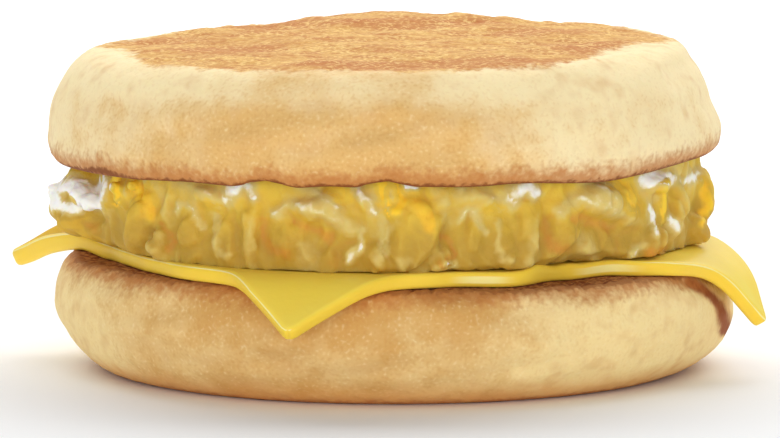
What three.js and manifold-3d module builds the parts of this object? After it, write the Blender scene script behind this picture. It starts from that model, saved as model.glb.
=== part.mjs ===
// Breakfast sandwich: a toasted English muffin cut in two, with a cheese slice and scrambled egg between its
// halves. Millimetres, +Z up, front towards -Y. The origin is the centre of the flat base that it stands on.
import * as THREE from "three";
import { mergeVertices } from "three/addons/utils/BufferGeometryUtils.js";
import Module from "manifold-3d";

const wasm = await Module();
wasm.setup();

// Driving dimensions of the muffin halves
const MUFFIN_RADIUS = 50; // at the widest, on both halves
const BOTTOM_CUT_RADIUS = 47.3; // at the toasted rim of the bottom half's cut face
const TOP_CUT_RADIUS = 48.4; // and of the top half's
const BOTTOM_HEIGHT = 16.8; // base to cut face
const BOTTOM_BELLY = 10.2; // height of the bottom half's widest ring
const BASE_FLAT_RADIUS = 41; // the flat spot that the sandwich stands on
const TOP_HEIGHT = 17; // cut face to griddled face, at the griddled face's edge
const TOP_BELLY = 4.4; // height of the top half's widest ring, above its cut face
const TOP_DOME = 0.9; // rise of the griddled face from its edge to its middle
const GRIDDLED_RADIUS = 41.5; // edge of the browned flat face on top
const TOP_SHIFT = -1.3; // the top half sits a little to the left
const TOP_LEAN = THREE.MathUtils.degToRad(-1); // and leans down to the left

// Driving dimensions of the cheese slice
const SLICE_SIDE = 83.5;
const SLICE_THICKNESS = 2.2;
const SLICE_TURN = 30.2; // degrees
const SLICE_LIFT = 0.25; // most that its sides wave up off the muffin

// How each corner hangs over the rim: its bearing from the slice's own +X, the distance from the axis at which
// its bend starts, the radius of the bend and the slope it ends with. Angles are in degrees.
const CORNERS = [
  { at: -45, start: 46.6, radius: 5.5, slope: 54 }, // right
  { at: 45, start: 46.6, radius: 9, slope: 38 }, // back
  { at: 135, start: 47, radius: 18, slope: 26 }, // left
  { at: 225, start: 46.2, radius: 9, slope: 34 }, // front
];

// Driving dimensions of the scrambled egg
const EGG_RADIUS = 46.5; // to the face of a curd that neither stands out nor sinks in
const EGG_HEIGHT = 12.2; // between the cheese and the top half
const CREASE_DEPTH = 3.2; // from the curds' faces in to the core
const CURDS_BEHIND = 14; // curds in each of the two rings behind
const CURD_WIDTH = 10.5;

// Each curd in the lists: its middle's distance right of the axis and above the cheese, its size, the degrees
// that its top leans to the right, and how far its face stands out from the egg's radius.
const END_CURDS = [
  { right: -46.2, up: 8.8, wide: 13, tall: 5.4, lean: 0, out: 2.8 },
  { right: -46.3, up: 5.6, wide: 7.5, tall: 4.6, lean: 0, out: 5 },
  { right: -46.3, up: 2.1, wide: 12, tall: 5, lean: 0, out: 3.6 },
  { right: -3.6, up: 8.8, wide: 4.6, tall: 7.6, lean: -30, out: 0.4 },
  { right: -3, up: 2.6, wide: 4.8, tall: 4.4, lean: 0, out: 0.4 },
  { right: 34.2, up: 7.8, wide: 6.5, tall: 8, lean: 0, out: 0.2 },
  { right: 38.5, up: 10.1, wide: 7.5, tall: 3.6, lean: 0, out: 0.8 },
  { right: 38.6, up: 1.9, wide: 7, tall: 4.6, lean: 0, out: 1.6 },
  { right: 42.2, up: 5.4, wide: 8.5, tall: 9.4, lean: 0, out: 0.8 },
  { right: 46.3, up: 7.2, wide: 9.5, tall: 8.6, lean: 0, out: 1.3 },
  { right: 45.6, up: 1.8, wide: 8, tall: 5, lean: 0, out: -0.4 },
];
const FOLDS = [
  { right: -40.2, up: 8.3, wide: 6, tall: 6.2, lean: 0, out: 0.2 },
  { right: -38, up: 5, wide: 8.4, tall: 9.8, lean: 12, out: 0.9 },
  { right: -34.4, up: 1.8, wide: 4.6, tall: 4.6, lean: 0, out: 1 },
  { right: -33.4, up: 8.4, wide: 3.4, tall: 6.4, lean: 0, out: -0.3 },
  { right: -29.8, up: 3.4, wide: 5.6, tall: 8.4, lean: 0, out: 0.4 },
  { right: -27.3, up: 9.5, wide: 8.2, tall: 3.2, lean: 15, out: 0.1 },
  { right: -24.9, up: 3.7, wide: 4, tall: 8.2, lean: 0, out: 0.2 },
  { right: -21.2, up: 5, wide: 4, tall: 10.8, lean: 0, out: 0.5 },
  { right: -16.2, up: 6.4, wide: 7.2, tall: 9.2, lean: 20, out: 0.7 },
  { right: -10.8, up: 6.2, wide: 10.6, tall: 3, lean: 14, out: 1.4 },
  { right: -10.2, up: 10, wide: 6.8, tall: 2.8, lean: 27, out: 0.9 },
  { right: -12.6, up: 1.6, wide: 3.6, tall: 5, lean: 0, out: -0.2 },
  { right: -9, up: 1.8, wide: 4.6, tall: 5.6, lean: 0, out: -0.4 },
];
const FOLDS_AGAIN = 40.5; // the same run of folds comes again this far to the right

const GAP = 0.3; // left between neighbours that touch
const SLICE_LEVEL = BOTTOM_HEIGHT + GAP;
const EGG_LEVEL = SLICE_LEVEL + SLICE_THICKNESS + SLICE_LIFT + GAP;
const TOP_LEVEL = EGG_LEVEL + EGG_HEIGHT;

// Mesh fineness
const ROUND_STEPS = 60;
const SIDE_STEPS = 4;
const SLICE_STEPS = 22;
const CURD_DETAIL = 1;

const COLOURS = {
  crumb: { color: 0xe9bd7b, roughness: 0.85 },
  cheese: { color: 0xf4cf3f, roughness: 0.38 },
  egg: { color: 0xecc955, roughness: 0.42 },
};

// A number from 0 to 1 that depends only on a piece's number and on which draw it is.
function chance(piece, draw) {
  const s = Math.sin(piece * 127.1 + draw * 311.7) * 43758.5453;
  return s - Math.floor(s);
}

const between = (low, high, share) => low + (high - low) * share;
const smooth = (low, high, x) => THREE.MathUtils.smoothstep(x, low, high);

// Soft waves over a face, from about -1 to 1, whose crests are roughly `length` apart.
function waves(x, y, length, phase) {
  const k = (2 * Math.PI) / length;
  return (
    (Math.sin(k * x + phase) * Math.cos(0.83 * k * y - 2 * phase) +
      0.6 * Math.sin(0.57 * k * (x + y) + 3 * phase) +
      0.5 * Math.cos(1.31 * k * (y - 0.6 * x) + 5 * phase)) /
    1.6
  );
}

// How far a muffin's edge wanders from a true circle at one bearing, as a share of its radius.
function outOfRound(bearing, phase) {
  return (
    0.006 * Math.sin(2 * bearing + phase) +
    0.004 * Math.sin(3 * bearing + 2.1 * phase) +
    0.003 * Math.sin(5 * bearing + 3.7 * phase) +
    0.0015 * Math.sin(11 * bearing + phase)
  );
}

// Spins an outline of radius and height about the Z axis, then moves each vertex by the given rule.
function spun(outline, move) {
  const geometry = new THREE.LatheGeometry(outline, ROUND_STEPS);
  geometry.rotateX(Math.PI / 2);
  const position = geometry.getAttribute("position");
  const point = new THREE.Vector3();
  for (let i = 0; i < position.count; i++) {
    move(point.fromBufferAttribute(position, i));
    position.setXYZ(i, point.x, point.y, point.z);
  }
  return geometry;
}

// Points at even steps along a flat face of an outline, from one radius to another.
function faceRings(from, to, height, count) {
  const radii = Array.from({ length: count }, (_, i) => between(from, to, i / (count - 1)));
  return radii.map((radius) => new THREE.Vector2(radius, height));
}

// The bottom half: flat base, tucked-in foot, belly above the middle and a toasted cut face.
function muffinBottom() {
  const side = new THREE.Path();
  side.moveTo(BASE_FLAT_RADIUS, 0);
  side.bezierCurveTo(BASE_FLAT_RADIUS + 4.5, 0, MUFFIN_RADIUS - 3.2, 1.4, MUFFIN_RADIUS - 1.8, 4.6);
  side.bezierCurveTo(MUFFIN_RADIUS - 0.8, 6.8, MUFFIN_RADIUS + 0.4, 8.4, MUFFIN_RADIUS + 0.4, BOTTOM_BELLY);
  const rim = new THREE.Vector2(BOTTOM_CUT_RADIUS, BOTTOM_HEIGHT);
  side.bezierCurveTo(MUFFIN_RADIUS + 0.4, 13.6, rim.x + 1.6, rim.y - 0.4, rim.x, rim.y);
  const outline = [
    new THREE.Vector2(0, 0),
    ...side.getPoints(SIDE_STEPS),
    ...faceRings(BOTTOM_CUT_RADIUS - 2.2, 12, BOTTOM_HEIGHT, 4),
    new THREE.Vector2(0, BOTTOM_HEIGHT),
  ];
  return spun(outline, (p) => {
    const bearing = Math.atan2(p.y, p.x);
    const radius = Math.hypot(p.x, p.y);
    const share = p.z / BOTTOM_HEIGHT;
    const puff = outOfRound(bearing, 3) * smooth(0, 0.5, share);
    const dimple = 0.35 * waves(p.x, p.z * 3, 17, 1.3) * smooth(0, 0.4, share) * smooth(30, 48, radius);
    const scale = 1 + puff + (radius > 1 ? dimple / radius : 0);
    p.x *= scale;
    p.y *= scale;
    if (share > 0.99) p.z -= 0.35 * Math.abs(waves(p.x, p.y, 13, 0.4));
  });
}

// The top half: toasted cut face below, straight side, rounded shoulder and an uneven griddled face.
function muffinTop() {
  const side = new THREE.Path();
  side.moveTo(TOP_CUT_RADIUS, 0);
  side.bezierCurveTo(TOP_CUT_RADIUS + 1.2, 0.5, MUFFIN_RADIUS, 2, MUFFIN_RADIUS, TOP_BELLY);
  side.bezierCurveTo(MUFFIN_RADIUS, 8.5, MUFFIN_RADIUS - 1, 11.5, MUFFIN_RADIUS - 3, 13.6);
  side.bezierCurveTo(MUFFIN_RADIUS - 4.6, 15.3, GRIDDLED_RADIUS + 2.4, 16.7, GRIDDLED_RADIUS, TOP_HEIGHT);
  const outline = [
    new THREE.Vector2(0, 0),
    ...faceRings(16, TOP_CUT_RADIUS - 2.2, 0, 3),
    ...side.getPoints(SIDE_STEPS),
    ...faceRings(GRIDDLED_RADIUS - 5, 8, TOP_HEIGHT, 5),
    new THREE.Vector2(0, TOP_HEIGHT),
  ];
  return spun(outline, (p) => {
    const bearing = Math.atan2(p.y, p.x);
    const radius = Math.hypot(p.x, p.y);
    const share = p.z / TOP_HEIGHT;
    const puff = outOfRound(bearing, 2.9) * smooth(0, 0.3, share + 0.15);
    const dimple = 0.35 * waves(p.x, p.z * 3, 19, 2.2) * smooth(30, 48, radius) * smooth(0, 0.2, share);
    const scale = 1 + puff + (radius > 1 ? dimple / radius : 0);
    p.x *= scale;
    p.y *= scale;
    const griddled = smooth(GRIDDLED_RADIUS + 3, GRIDDLED_RADIUS - 6, radius) * smooth(0.9, 1, share);
    p.z += griddled * (TOP_DOME * (1 - (radius / GRIDDLED_RADIUS) ** 2) + 0.55 * waves(p.x, p.y, 24, 0.9));
    if (share < 0.01) p.z += 0.3 * Math.abs(waves(p.x, p.y, 15, 1.9));
  });
}

// Moves steps towards both ends of a side, where the slice bends.
function graded(share) {
  return between(share, Math.sin((share * Math.PI) / 2), 0.6);
}

// Lays a point of the flat slice on the muffin: level inside the rim, bent down over it at each corner.
function drape(point) {
  const turn = THREE.MathUtils.degToRad(SLICE_TURN);
  const flat = new THREE.Vector2(point.x, point.y).rotateAround(new THREE.Vector2(), turn);
  const place = new THREE.Vector3(flat.x, flat.y, 0);
  const normal = new THREE.Vector3(0, 0, 1);
  for (const corner of CORNERS) {
    const at = turn + THREE.MathUtils.degToRad(corner.at);
    const out = new THREE.Vector3(Math.cos(at), Math.sin(at), 0);
    const past = flat.x * out.x + flat.y * out.y - corner.start;
    if (past <= 0) continue;
    const bend = Math.min(past / corner.radius, THREE.MathUtils.degToRad(corner.slope));
    const straight = past - bend * corner.radius;
    place.addScaledVector(out, corner.radius * Math.sin(bend) + straight * Math.cos(bend) - past);
    place.z -= corner.radius * (1 - Math.cos(bend)) + straight * Math.sin(bend);
    normal.set(0, 0, Math.cos(bend)).addScaledVector(out, Math.sin(bend));
  }
  const edge = smooth(SLICE_SIDE / 2 - 7, SLICE_SIDE / 2, Math.max(Math.abs(point.x), Math.abs(point.y)));
  const lift = (edge * SLICE_LIFT * (1 + waves(flat.x, flat.y, 21, 0.6))) / 2;
  return place.addScaledVector(normal, point.z + lift);
}

function cheeseSlice() {
  const geometry = new THREE.BoxGeometry(2, 2, SLICE_THICKNESS, SLICE_STEPS, SLICE_STEPS, 1);
  geometry.translate(0, 0, SLICE_THICKNESS / 2);
  const position = geometry.getAttribute("position");
  const point = new THREE.Vector3();
  for (let i = 0; i < position.count; i++) {
    point.fromBufferAttribute(position, i);
    point.x = (Math.sign(point.x) * graded(Math.abs(point.x)) * SLICE_SIDE) / 2;
    point.y = (Math.sign(point.y) * graded(Math.abs(point.y)) * SLICE_SIDE) / 2;
    const draped = drape(point);
    position.setXYZ(i, draped.x, draped.y, draped.z);
  }
  return geometry;
}

// One curd: a lumpy ball of the given size, with its width along X and its face towards +Y.
function curd(number, wide, deep, tall) {
  const geometry = new THREE.IcosahedronGeometry(0.5, CURD_DETAIL);
  const position = geometry.getAttribute("position");
  const point = new THREE.Vector3();
  for (let i = 0; i < position.count; i++) {
    point.fromBufferAttribute(position, i);
    const lump = 1 + 0.12 * Math.sin(7 * point.x + 5 * point.z + number) * Math.cos(6 * point.y - 2 * number);
    position.setXYZ(i, point.x * lump * wide, point.y * lump * deep, point.z * lump * tall);
  }
  return geometry;
}

// Stands a curd at a bearing, with its face at the given radius and its middle at the given height.
function stood(geometry, bearing, face, height, turn) {
  geometry.computeBoundingBox();
  return geometry.applyMatrix4(
    new THREE.Matrix4()
      .makeRotationZ(bearing - Math.PI / 2)
      .multiply(new THREE.Matrix4().makeTranslation(0, face - geometry.boundingBox.max.y, height))
      .multiply(new THREE.Matrix4().makeRotationFromEuler(turn)),
  );
}

// The curds that show at the front and at both ends.
function frontCurds() {
  const again = FOLDS.map((fold) => ({ ...fold, right: fold.right + FOLDS_AGAIN }));
  return [...END_CURDS, ...FOLDS, ...again].map(({ right, up, wide, tall, lean, out }, number) => {
    const deep = 0.8 * Math.min(wide, tall) + 2.4 + Math.max(0, out);
    const turn = new THREE.Euler(0, THREE.MathUtils.degToRad(-lean), 0);
    const bearing = -Math.acos(right / EGG_RADIUS);
    return stood(curd(number, wide, deep, tall), bearing, EGG_RADIUS + out, EGG_LEVEL + up, turn);
  });
}

// Two staggered rings of curds behind, which lean and swell by their own draws.
function backCurds() {
  const placed = [];
  for (let ring = 0; ring < 2; ring++) {
    for (let i = 0; i < CURDS_BEHIND; i++) {
      const number = 100 + ring * CURDS_BEHIND + i;
      const bearing = ((i + 0.3 + ring / 2 + between(-0.2, 0.2, chance(number, 1))) / CURDS_BEHIND) * Math.PI;
      const wide = CURD_WIDTH * between(0.85, 1.3, chance(number, 2));
      const tall = CURD_WIDTH * between(0.7, 1.1, chance(number, 3));
      const face = EGG_RADIUS + between(-0.6, 1.6, chance(number, 4));
      const turn = new THREE.Euler(0, between(-0.6, 0.6, chance(number, 5)), 0);
      const height = EGG_LEVEL + EGG_HEIGHT * (ring ? 0.7 : 0.3) + between(-0.8, 0.8, chance(number, 6));
      placed.push(stood(curd(number, wide, 0.8 * CURD_WIDTH, tall), bearing, face, height, turn));
    }
  }
  return placed;
}

function toSolid(geometry) {
  const bare = geometry.clone();
  bare.deleteAttribute("normal");
  bare.deleteAttribute("uv");
  const merged = mergeVertices(bare, 1e-3);
  const index = merged.index.array;
  const triVerts = [];
  for (let i = 0; i < index.length; i += 3) {
    const [a, b, c] = [index[i], index[i + 1], index[i + 2]];
    if (a !== b && b !== c && a !== c) triVerts.push(a, b, c);
  }
  const mesh = new wasm.Mesh({
    numProp: 3,
    vertProperties: new Float32Array(merged.attributes.position.array),
    triVerts: new Uint32Array(triVerts),
  });
  return new wasm.Manifold(mesh);
}

function toGeometry(solid) {
  const mesh = solid.getMesh();
  const geometry = new THREE.BufferGeometry();
  geometry.setAttribute("position", new THREE.BufferAttribute(mesh.vertProperties, 3));
  geometry.setIndex(new THREE.BufferAttribute(mesh.triVerts, 1));
  geometry.computeVertexNormals();
  return geometry;
}

// The egg: a low round core with the edge's curds fused on, cut off level above the slice below and along the
// plane of the top half's cut face.
function scrambledEgg(topPlace) {
  const radius = EGG_RADIUS - CREASE_DEPTH;
  const core = new THREE.CylinderGeometry(radius, radius, EGG_HEIGHT + 4, 48);
  core.rotateX(Math.PI / 2);
  core.translate(0, 0, EGG_LEVEL + EGG_HEIGHT / 2);
  const underneath = new THREE.BoxGeometry(3 * MUFFIN_RADIUS, 3 * MUFFIN_RADIUS, EGG_LEVEL);
  underneath.translate(0, 0, EGG_LEVEL / 2);
  const overhead = new THREE.BoxGeometry(3 * MUFFIN_RADIUS, 3 * MUFFIN_RADIUS, EGG_HEIGHT);
  overhead.translate(0, 0, EGG_HEIGHT / 2 - GAP).applyMatrix4(topPlace);
  let egg = toSolid(core);
  for (const geometry of [...frontCurds(), ...backCurds()]) egg = egg.add(toSolid(geometry));
  egg = egg.subtract(toSolid(underneath)).subtract(toSolid(overhead));
  const bodies = egg.decompose().sort((a, b) => b.volume() - a.volume());
  return toGeometry(bodies[0]);
}

function piece(name, geometry, finish) {
  const mesh = new THREE.Mesh(geometry, new THREE.MeshStandardMaterial({ metalness: 0, ...finish }));
  mesh.name = name;
  return mesh;
}

const sandwich = new THREE.Group();
sandwich.name = "breakfast_sandwich";

const bottomHalf = piece("muffin_bottom", muffinBottom(), COLOURS.crumb);
const slice = piece("cheese_slice", cheeseSlice(), COLOURS.cheese);
slice.position.z = SLICE_LEVEL;
const topHalf = piece("muffin_top", muffinTop(), COLOURS.crumb);
topHalf.position.set(TOP_SHIFT, 0, TOP_LEVEL);
topHalf.rotation.y = TOP_LEAN;
topHalf.updateMatrixWorld();
const egg = piece("scrambled_egg", scrambledEgg(topHalf.matrixWorld), COLOURS.egg);
sandwich.add(bottomHalf, slice, egg, topHalf);

export default sandwich;
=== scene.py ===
import math

import bmesh
import bpy
from mathutils import Matrix, Vector, kdtree, noise


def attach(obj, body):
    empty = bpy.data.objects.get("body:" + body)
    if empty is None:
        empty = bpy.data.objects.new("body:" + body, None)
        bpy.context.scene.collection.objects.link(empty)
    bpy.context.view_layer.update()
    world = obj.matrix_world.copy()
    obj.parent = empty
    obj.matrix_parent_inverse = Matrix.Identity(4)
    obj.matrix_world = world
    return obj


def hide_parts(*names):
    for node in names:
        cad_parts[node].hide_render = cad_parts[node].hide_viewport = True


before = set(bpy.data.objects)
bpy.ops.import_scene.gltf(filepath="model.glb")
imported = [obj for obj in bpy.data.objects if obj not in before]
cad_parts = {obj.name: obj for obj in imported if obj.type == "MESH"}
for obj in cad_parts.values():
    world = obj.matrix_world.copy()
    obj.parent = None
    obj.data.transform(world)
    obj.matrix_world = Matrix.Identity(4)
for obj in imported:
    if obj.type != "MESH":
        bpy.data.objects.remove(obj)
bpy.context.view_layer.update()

# Breakfast sandwich. Shapes are worked out in millimetres, as in the part's source, and each finished piece
# is scaled to metres. +Z is up and the front faces -Y.

MILLIMETRE = 0.001

# The camera at the photo's angle: a metre in front of the axis and a little above
EYE_RIGHT = -0.6
EYE_DISTANCE = 1000
EYE_HEIGHT = 139
AIM_HEIGHT = 21.86
LENS = 311.7
SENSOR_WIDTH = 36

# Sizes of the muffin halves
MUFFIN_RADIUS = 50
BOTTOM_CUT_RADIUS = 47.3
TOP_CUT_RADIUS = 48.4
BOTTOM_HEIGHT = 16.8
BOTTOM_BELLY = 10.2
BASE_FLAT_RADIUS = 41
TOP_BELLY = 4.4
TOP_DOME = 0.9
TOP_FACE = 16
GRIDDLED_RADIUS = 41.5
TOP_SHIFT = -1.3
TOP_LEAN = math.radians(-1)

# How deep the crust's broad dimples go, out to which radius both cut faces are hidden, and how near to a
# level face a point counts as on it
DIMPLE_DEPTH = 0.35
HIDDEN_RADIUS = 36
ON_FACE = 0.01

# A painted shadow: a rusty brown band on the bottom half under the slice's right corner, as the camera sees
# it
CORNER_SHADOW_BAND = ((44.1, 12.8), (45.8, 12.2), (47.2, 11.1), (48.4, 9.6), (48.9, 7.7), (48.8, 5.8), (48.6, 4.9))

# Swells and hollows of the griddled face: right of and behind the axis, how far they reach and how high
SWELLS = (
    (-1, 31, 17, 1.15),
    (-13, 30, 6, 0.3),
    (16, 30, 8, 0.9),
    (32, 20, 9, 0.3),
    (-25, 27, 9, 0.15),
    (-35, 20, 11, -1.1),
    (26, 26, 9, 0.35),
    (-6, -18, 14, 0.3),
    (22, -8, 15, 0.2),
)

# Its browner places: right of and behind the axis, and how far each reaches both ways
SCORCHES = (
    (-23, -9, 13, 11),
    (-33, 12, 10, 14),
    (-2, -36, 17, 9),
    (17, -35, 17, 10),
    (31, -16, 12, 14),
    (6, 22, 22, 8),
    (-16, 28, 12, 7),
    (22, 8, 10, 8),
)

# How the top half's lower rim rises and dips, from left to right along its front
RIM_RISES = ((-29, 7, 0.35), (-17, 5, 0.85), (-8, 5, 0.2), (0, 5, 0.8), (13, 9, -0.3), (31, 15, -0.95))

# Sizes of the cheese slice, and how each corner bends over the rim
SLICE_SIDE = 83.5
SLICE_THICKNESS = 2.2
SLICE_TURN = math.radians(30.2)
SLICE_LIFT = 0.25
CORNER_ROUNDING = 1.5
EDGE_ROUNDING = 0.68
CORNERS = (
    {"at": -45, "start": 43.5, "radius": 10, "slope": 60, "longer": 1.1},
    {"at": 45, "start": 46.6, "radius": 9, "slope": 38, "longer": 0},
    {"at": 135, "start": 47, "radius": 18, "slope": 25, "longer": 1.5},
    {"at": 225, "start": 46.2, "radius": 9, "slope": 35, "longer": 1.4},
)

# How its two front sides bulge outwards, and rise or sag: a place along the side, a reach and a distance
LEFT_BULGES = ((-6, 21, 3), (-17, 10, 1.2), (6, 7, 0.5))
RIGHT_BULGES = ((-6, 11, 3.6), (-17, 8, 1.2), (20, 10, 2.6))
LEFT_RISES = ((21.5, 9, 0.6), (36, 8, -0.3))
RIGHT_RISES = ((-6, 9, -0.2), (6, 7, -0.3), (17, 9, -0.35))

# Where the top edge of the right front side stands higher, and where that side has a pale sheen
RIDGE_RISES = ((-1.6, 3.8, 0.6), (5.2, 2.6, 0.25), (13, 4, 0.12))
SHEENS = ((-11, 8, 1), (11, 9, 1))

# Where the lower edge of the left front side hangs lower
LEFT_SAGS = ((19, 13, 0.35), (35, 17, 0.8))

# Where its back left side stands higher
BACK_RISES = ((-29, 12, 0.9),)

# How far in from a side its bulges, its rises, its ridge and sags, its back rises and its lift reach, and
# how far in from a corner its lengthening does
BULGE_REACH = 14
RISE_REACH = 9
RIDGE_REACH = 5
BACK_REACH = 12
LIFT_REACH = 7
CORNER_REACH = 12

# Sizes of the scrambled egg: its core, how far the folds stand out, and how big its soft lobes are
EGG_RADIUS = 46.5
EGG_HEIGHT = 12.2
CREASE_DEPTH = 1.1
FOLD_RELIEF = 1.7
LOBE_SIZE = 5
LOBE_RELIEF = 0.55

# A front curd whose lower end is under LOW_CURD reaches down to CURD_FOOT. Behind, each of two rings has
# CURDS_BEHIND curds about CURD_WIDTH across.
LOW_CURD = 2
CURD_FOOT = -1.2
CURDS_BEHIND = 14
CURD_WIDTH = 10.5

# The egg's level faces are hidden out to these radii
HIDDEN_ABOVE = 36
HIDDEN_BELOW = 38.5

# Gaps between the pieces, and the levels that follow from them
GAP = 0.3
RIM_CLEARANCE = 0.06
EGG_OVER_SLICE = 0.03
EGG_UNDER_TOP = 0.05
SLICE_LEVEL = BOTTOM_HEIGHT + GAP
EGG_LEVEL = SLICE_LEVEL + SLICE_THICKNESS + SLICE_LIFT + GAP
TOP_LEVEL = EGG_LEVEL + EGG_HEIGHT
TOP_PLACE = Matrix.Translation((TOP_SHIFT, 0, TOP_LEVEL)) @ Matrix.Rotation(TOP_LEAN, 4, "Y")

# Mesh fineness
ROUND_STEPS = 560
WEDGES = 16
RING_GAP = 0.62
SIDE_GAP = 0.45
HIDDEN_GAP = 2.4
SLICE_STEPS = 104
CURD_VOXEL = 0.35
SOFTENINGS = 7
FOLD_SOFTENINGS = 16

# Each curd that shows at the two ends and between the folds: its middle's distance right of the axis and
# above the cheese, its size, the degrees that its top leans to the right, how far its face stands out from
# the egg's radius, how pale it is, from bright yellow below 0 to white at 1, and how browned it is.
END_CURDS = (
    (-46.2, 6.9, 18, 11, 0, 5, -0.15, 0),
    (-45.4, 3.4, 11, 5, 0, 4.3, -0.3, 0.1),
    (-42.6, 7.4, 5, 9, 0, 0.2, 0.05, 0),
    (-3.6, 8.8, 4.6, 7.6, -30, 0.4, 0.25, 0),
    (-3, 2.6, 4.8, 4.4, 0, 0.4, 0.05, 0.2),
    (34.2, 7.8, 6.5, 8, 0, 0.2, 0.05, 0.15),
    (38.5, 10.1, 7.5, 3.6, 0, 0.8, 0.45, 0),
    (38.6, 1.9, 7, 4.6, 0, 1.2, 0.15, 0.15),
    (42.2, 6.4, 8.5, 11, 0, 0.8, 0.3, 0),
    (46.2, 6.2, 10, 9.8, 0, 1.2, 0.2, 0),
    (45.2, 2.4, 8, 5, 0, 1.7, 0.1, 0.1),
)

# Small white curds: right of the axis, in front of it, above the cheese, and across
WHITES = (
    (-50.1, 6, 7, 2.5),
    (-48.7, 8, 7.7, 1.6),
    (-47.2, 10.6, 7.5, 3.4),
    (-45.9, 13.6, 7.1, 3.6),
    (-44.6, 16, 6.5, 2.9),
    (-43.6, 17.6, 6.1, 1.5),
    (-48.9, 8, 5.4, 1.5),
    (-47.2, 11, 5, 1.2),
    (-40.8, 23.2, 9.4, 1.8),
    (-40.6, 23, 7.8, 1.3),
    (-38, 26.6, 10, 1.6),
)

# The curds of the egg's folds, given as those at the ends are; they come again FOLDS_AGAIN further right
FOLDS = (
    (-40.2, 8.3, 6, 6.2, 0, 0.2, 0.05, 0),
    (-37.6, 5.6, 9, 11.4, 14, 1.1, 0, 0.12),
    (-34.3, 2, 4.8, 4.8, 0, 0.9, 0.25, 0),
    (-33.4, 8.4, 3.6, 7.4, 0, -0.1, 0.25, 0),
    (-29.6, 3.8, 6.2, 9, 0, 0.3, 0.05, 0),
    (-27.3, 9.4, 9, 4.4, 15, 0.1, 0.3, 0),
    (-24.6, 4, 4.8, 9, 0, 0.1, 0.05, 0),
    (-21, 5.4, 4.6, 12, 0, 0.3, 0.1, 0),
    (-15.8, 6.2, 8.4, 10.5, 20, 0.4, 0, 0.05),
    (-10.6, 8.4, 10.6, 6.4, 24, 0.7, 0.2, 0),
    (-12.4, 2, 4.4, 5.6, 0, -0.3, 0.25, 0),
    (-8.6, 2.4, 5.4, 6.4, 0, -0.3, 0, 0.1),
)
FOLDS_AGAIN = 40.5

# Wisps and creases over the curds, as seen from the front: a path of distances right of the axis and above
# the cheese, a width, how far a wisp stands out or a crease goes in, and how pale and how browned it is; a
# crease's browning is painted shade under the curds beside it.
FOLD_STROKES = (
    (((-40.2, 7), (-41.4, 5.6), (-42.3, 3.6), (-42.8, 1.7)), 1.4, 0.1, 0.35, 0),
    (((-37.4, 9.6), (-35.8, 8.2), (-35.2, 6.3)), 2.6, 0, -0.5, 0.35),
    (((-34.3, 11), (-33.6, 9.3), (-33.3, 6.6)), 1.9, 0.2, 0.4, 0),
    (((-33.6, 5.1), (-32.4, 3.8), (-32.2, 2.4), (-32.7, 1)), 1.2, -0.25, 0, 0.6),
    (((-30.6, 11), (-27.8, 10.6), (-25.9, 9.8), (-24, 9.2)), 2.4, 0.3, 0.55, 0),
    (((-31.3, 6.9), (-30.6, 8), (-29.5, 8.5), (-28.7, 7.2), (-27.7, 5.2)), 1.2, 0.4, 0.62, 0),
    (((-26.8, 8.4), (-25, 8.1)), 1.6, -0.1, -0.4, 0.05),
    (((-25.5, 7.9), (-25.7, 4.4), (-25.5, 2.4), (-24.8, 1.1), (-23.8, 1.2)), 1.2, 0.25, 0.45, 0),
    (((-22.9, 7.4), (-22.9, 2.4)), 0.9, -0.4, 0, 0.15),
    (((-20.3, 6.3), (-20.5, 3.3), (-20.8, 0.6)), 1.9, 0.2, 0.35, 0),
    (((-23.6, 10.2), (-22.2, 11.4), (-21.1, 11.9), (-20.4, 10.4)), 2.4, 0.5, 0.85, 0),
    (((-18.9, 6.4), (-18.7, 4.1), (-17.5, 2.6), (-15.4, 2)), 2.2, -0.4, 0, 0.6),
    (
        ((-16.9, 7.6), (-15.5, 8.7), (-14.2, 9.5), (-12.5, 9.1), (-9.8, 8.1), (-7.7, 6.8), (-6, 5.8)),
        2.3, 0.95, 0.6, 0,
    ),
    (((-14.3, 6.9), (-12.5, 5.9), (-10.8, 5.2), (-9.2, 4.4)), 1.8, -0.5, 0, 0.6),
    (((-13.1, 12.2), (-11.9, 11.5), (-10.2, 10.6), (-8.3, 9.4)), 2.4, 0.6, 0.66, 0),
    (((-9, 11.7), (-7.4, 10.7)), 2, -0.2, -0.5, 0),
    (((-13.4, 3), (-12.5, 1.4), (-11.9, 0.3)), 2.1, 0.3, 0.4, 0),
    (((-6, 4.4), (-8, 2.8), (-8.3, 0.8)), 1.6, -0.2, 0, 0.35),
)
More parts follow.
